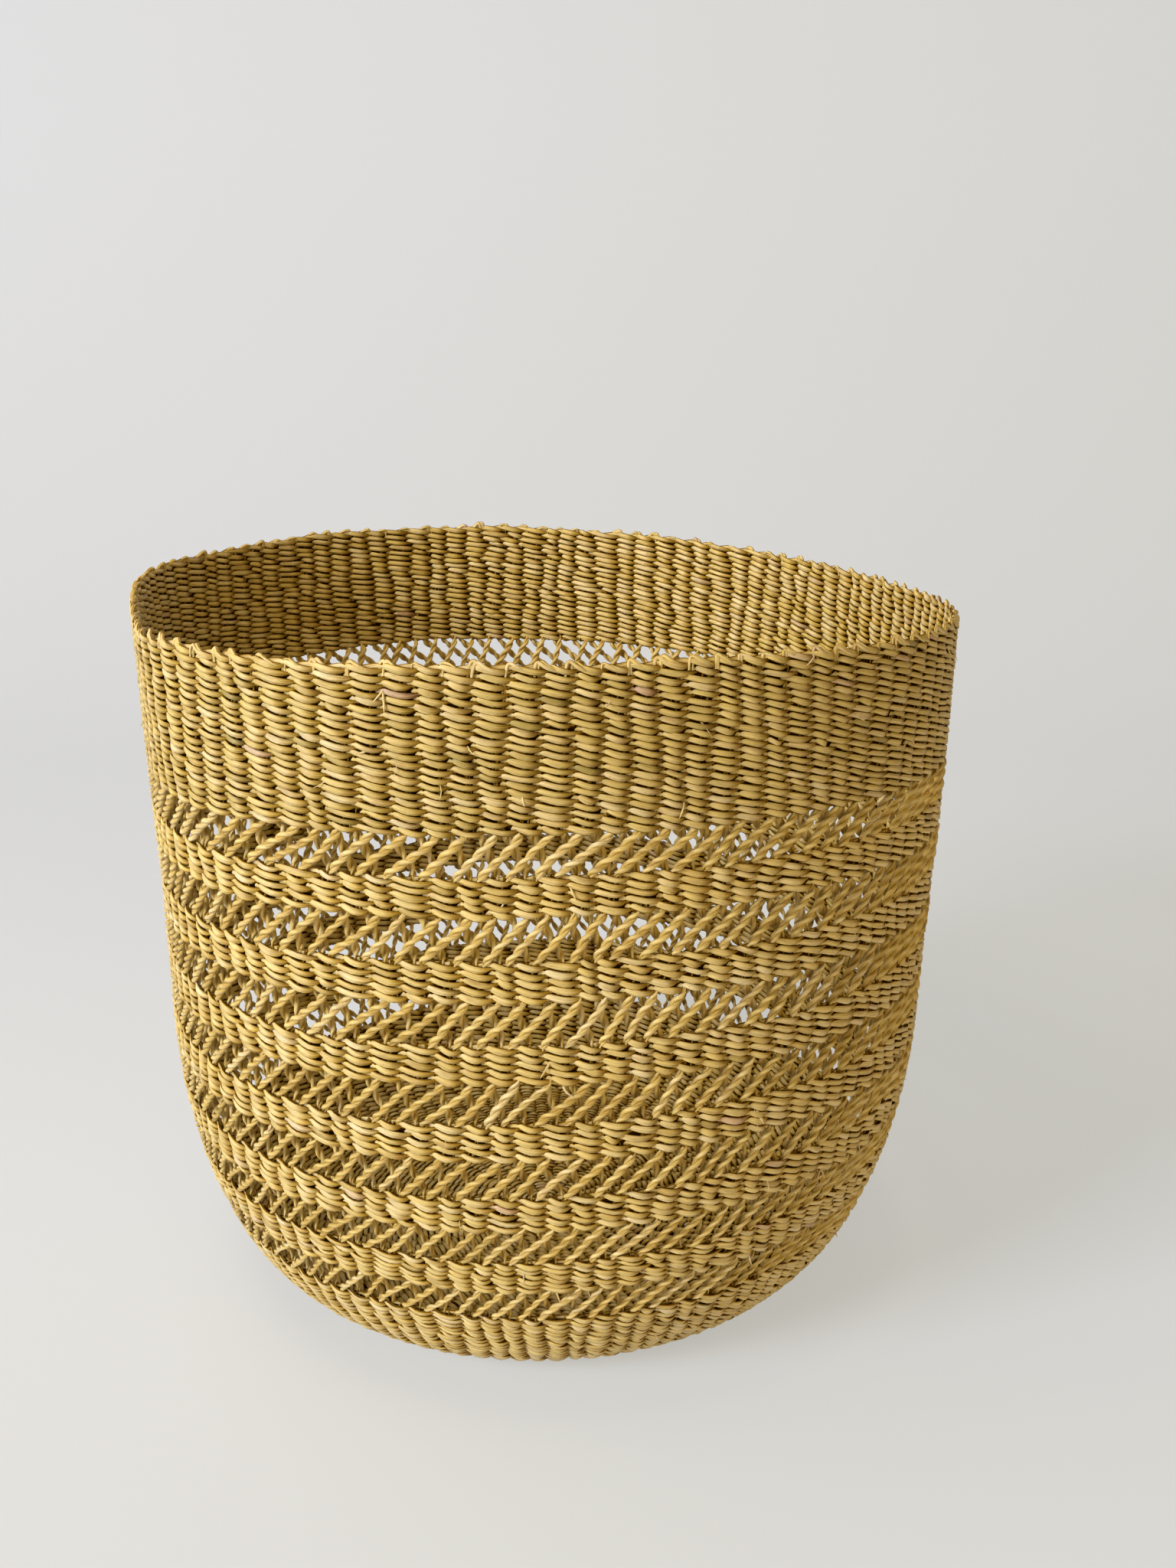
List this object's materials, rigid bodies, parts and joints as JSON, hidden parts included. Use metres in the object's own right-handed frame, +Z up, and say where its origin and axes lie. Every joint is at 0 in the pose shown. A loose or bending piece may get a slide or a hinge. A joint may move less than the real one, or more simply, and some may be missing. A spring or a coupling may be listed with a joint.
{
  "type": "woven basket",
  "caption": "Round open-topped basket of twined straw, with rings of slanting openwork stakes between dense bands, a folded rim and a flat floor for storage.",
  "frame": {"origin": "middle of the flat face that the basket stands on", "axes": "+Z up through the middle of the mouth; the basket is round, so +X is any way round"},
  "size_m": [0.3822, 0.3822, 0.3335],
  "materials": {
    "twined_straw": "satin dry grass, twined",
    "heel_straw": "satin dry grass, twined close",
    "outer_stake_straw": "satin dry grass, twisted into cord",
    "inner_stake_straw": "satin dry grass, twisted into cord, in the shade",
    "border_straw": "satin dry grass, folded over",
    "floor_straw": "satin dry grass, twined flat"
  },
  "bodies": {
    "root": {"floor_disc": "floor_straw", "heel_band": "heel_straw", "outer_stakes_1": "outer_stake_straw", "inner_stakes_1": "inner_stake_straw", "twined_band_1": "twined_straw", "outer_stakes_2": "outer_stake_straw", "inner_stakes_2": "inner_stake_straw", "twined_band_2": "twined_straw", "outer_stakes_3": "outer_stake_straw", "inner_stakes_3": "inner_stake_straw", "twined_band_3": "twined_straw", "outer_stakes_4": "outer_stake_straw", "inner_stakes_4": "inner_stake_straw", "twined_band_4": "twined_straw", "outer_stakes_5": "outer_stake_straw", "inner_stakes_5": "inner_stake_straw", "twined_band_5": "twined_straw", "outer_stakes_6": "outer_stake_straw", "inner_stakes_6": "inner_stake_straw", "twined_band_6": "twined_straw", "outer_stakes_7": "outer_stake_straw", "inner_stakes_7": "inner_stake_straw", "upper_band": "twined_straw", "rim_border": "border_straw"}
  },
  "joints": []
}
